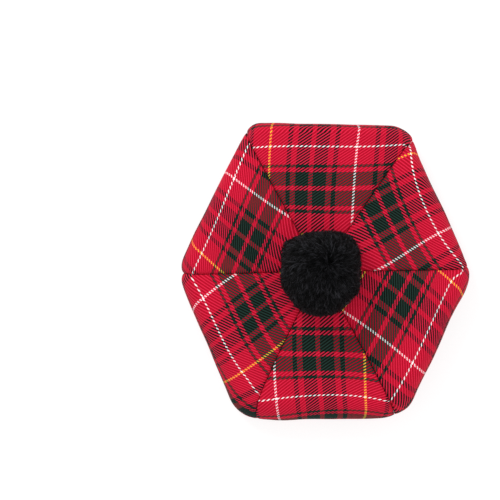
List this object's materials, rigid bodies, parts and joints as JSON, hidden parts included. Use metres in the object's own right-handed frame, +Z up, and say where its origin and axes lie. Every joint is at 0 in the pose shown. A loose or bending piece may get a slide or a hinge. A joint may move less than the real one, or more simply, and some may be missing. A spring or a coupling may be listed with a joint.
{
  "type": "tam o shanter",
  "caption": "Soft flat six-sided cap: tartan wedge panels, a strip gathered underneath into an elastic headband, a lining and a round yarn pompom on top.",
  "frame": {"origin": "centre of the hat's box on the surface that it rests on, at the rim of the headband", "axes": "+Z up through the pompom, +Y towards the far side of the crown as the hat lies in front of the viewer, +X to the right"},
  "size_m": [0.303, 0.3118, 0.1205],
  "materials": {
    "tartan": "matt twill",
    "headband_cloth": "matt brushed",
    "lining_cloth": "plain weave with a soft sheen",
    "pompom_yarn": "matt wool"
  },
  "bodies": {
    "root": {"top_panel_1": "tartan", "top_panel_2": "tartan", "top_panel_3": "tartan", "top_panel_4": "tartan", "top_panel_5": "tartan", "top_panel_6": "tartan", "gathered_underside": "tartan", "headband": "headband_cloth", "lining": "lining_cloth", "pompom": "pompom_yarn"}
  },
  "joints": []
}
